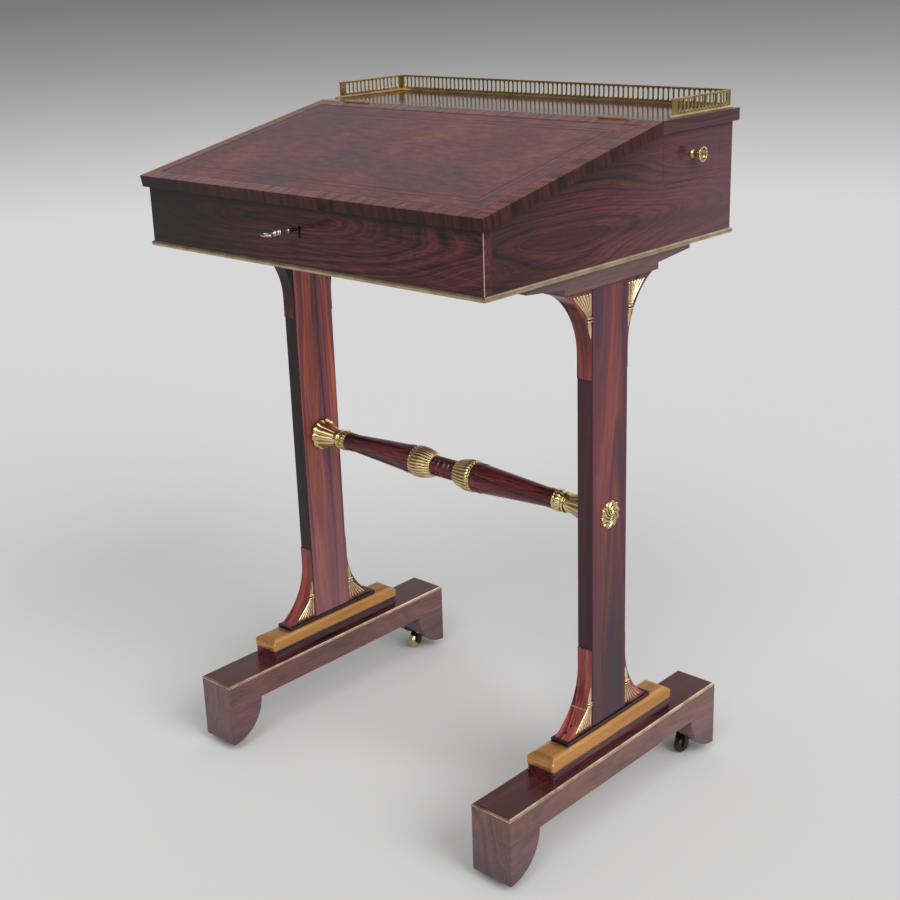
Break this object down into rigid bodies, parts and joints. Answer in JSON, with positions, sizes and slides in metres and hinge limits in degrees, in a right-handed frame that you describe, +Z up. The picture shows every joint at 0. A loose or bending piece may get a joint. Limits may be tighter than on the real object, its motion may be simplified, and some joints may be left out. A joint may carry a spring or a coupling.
{
  "type": "davenport desk",
  "caption": "Sloped writing desk on two trestle ends: hinged leather-lined lid, galleried shelf, pen drawer, turned stretcher and castors.",
  "frame": {"origin": "bottom centre of the whole desk's box, on the floor under the castors, lid shut, drawer in and key in its lock", "axes": "+X to the sitter's right, where the pen drawer opens; +Y to the back; +Z up"},
  "size_m": [0.5864, 0.5254, 0.9022],
  "materials": {
    "brass": "polished and lacquered",
    "iron": "black iron",
    "leather": "faded tooled skiver",
    "mahogany": "plain waxed mahogany",
    "rosewood": "french-polished rosewood, dark red-brown with black figure",
    "satin_brass": "satin, warm gold",
    "steel": "plain filed steel"
  },
  "bodies": {
    "stand": {"base_bead": "brass", "case_back": "rosewood", "case_bottom": "mahogany", "case_front": "rosewood", "case_moulding": "brass", "case_screws": "steel", "case_side_left": "rosewood", "case_side_right": "rosewood", "castor_plates": "brass", "drawer_divider": "mahogany", "drawer_dust_board": "mahogany", "fan_mounts": "brass", "gallery_back": "brass", "gallery_base": "brass", "gallery_returns": "brass", "hinge_shelf_leaves": "brass", "left_base_bar": "rosewood", "left_bearer": "rosewood", "left_brackets": "rosewood", "left_column": "rosewood", "left_feet": "rosewood", "left_plinth": "rosewood", "left_plinth_cap": "satin_brass", "lock_case": "steel", "lock_escutcheon": "brass", "right_base_bar": "rosewood", "right_bearer": "rosewood", "right_brackets": "rosewood", "right_column": "rosewood", "right_feet": "rosewood", "right_plinth": "rosewood", "right_plinth_cap": "satin_brass", "stretcher_centre": "rosewood", "stretcher_collars": "brass", "stretcher_cones": "rosewood", "stretcher_rosettes": "brass", "stretcher_sockets": "brass", "stretcher_tie_bolts": "iron", "top_shelf": "rosewood"},
    "lid": {"lid_panel": "rosewood", "lid_crossbanding": "rosewood", "lid_leather": "leather", "hinge_lid_leaves": "brass", "lock_strike_plate": "brass", "lid_screws": "brass"},
    "pen_drawer": {"pen_drawer_front": "rosewood", "pen_drawer_box": "mahogany", "pen_drawer_bottom": "mahogany", "pen_drawer_dividers": "mahogany", "pen_drawer_knob": "brass"},
    "lock_bolt": {"lock_bolt": "steel"},
    "key": {"lock_key": "steel"},
    "fork_left_front": {"castor_fork_left_front": "brass"},
    "wheel_left_front": {"castor_wheel_left_front": "brass"},
    "fork_left_back": {"castor_fork_left_back": "brass"},
    "wheel_left_back": {"castor_wheel_left_back": "brass"},
    "fork_right_front": {"castor_fork_right_front": "brass"},
    "wheel_right_front": {"castor_wheel_right_front": "brass"},
    "fork_right_back": {"castor_fork_right_back": "brass"},
    "wheel_right_back": {"castor_wheel_right_back": "brass"}
  },
  "joints": [
    {"name": "lid_hinge", "type": "hinge", "parent": "stand", "child": "lid", "pos_m": [-0.00525, 0.1004, 0.88039], "axis": [-1, 0, 0], "range_deg": [0, 108]},
    {"name": "pen_drawer_slide", "type": "slide", "parent": "stand", "child": "pen_drawer", "axis": [1, 0, 0], "range_m": [0, 0.24]},
    {"name": "key_turn", "type": "hinge", "parent": "stand", "child": "key", "pos_m": [-0.00525, -0.2077, 0.777], "axis": [0, 1, 0], "range_deg": [0, 90]},
    {"name": "bolt_throw", "type": "slide", "parent": "stand", "child": "lock_bolt", "axis": [0, 0, 1], "range_m": [0, 0.006]},
    {"name": "swivel_left_front", "type": "hinge", "parent": "stand", "child": "fork_left_front", "pos_m": [-0.26225, -0.1677, 0.042], "axis": [0, 0, 1], "continuous": true},
    {"name": "roll_left_front", "type": "hinge", "parent": "fork_left_front", "child": "wheel_left_front", "pos_m": [-0.26225, -0.1607, 0.0125], "axis": [1, 0, 0], "continuous": true},
    {"name": "swivel_left_back", "type": "hinge", "parent": "stand", "child": "fork_left_back", "pos_m": [-0.26225, 0.2183, 0.042], "axis": [0, 0, 1], "continuous": true},
    {"name": "roll_left_back", "type": "hinge", "parent": "fork_left_back", "child": "wheel_left_back", "pos_m": [-0.26225, 0.2113, 0.0125], "axis": [1, 0, 0], "continuous": true},
    {"name": "swivel_right_front", "type": "hinge", "parent": "stand", "child": "fork_right_front", "pos_m": [0.25175, -0.1677, 0.042], "axis": [0, 0, 1], "continuous": true},
    {"name": "roll_right_front", "type": "hinge", "parent": "fork_right_front", "child": "wheel_right_front", "pos_m": [0.25175, -0.1607, 0.0125], "axis": [1, 0, 0], "continuous": true},
    {"name": "swivel_right_back", "type": "hinge", "parent": "stand", "child": "fork_right_back", "pos_m": [0.25175, 0.2183, 0.042], "axis": [0, 0, 1], "continuous": true},
    {"name": "roll_right_back", "type": "hinge", "parent": "fork_right_back", "child": "wheel_right_back", "pos_m": [0.25175, 0.2113, 0.0125], "axis": [1, 0, 0], "continuous": true}
  ],
  "couplings": [
    {"joint": "bolt_throw", "follows": "key_turn", "m_per_rad": 0.0038197}
  ]
}
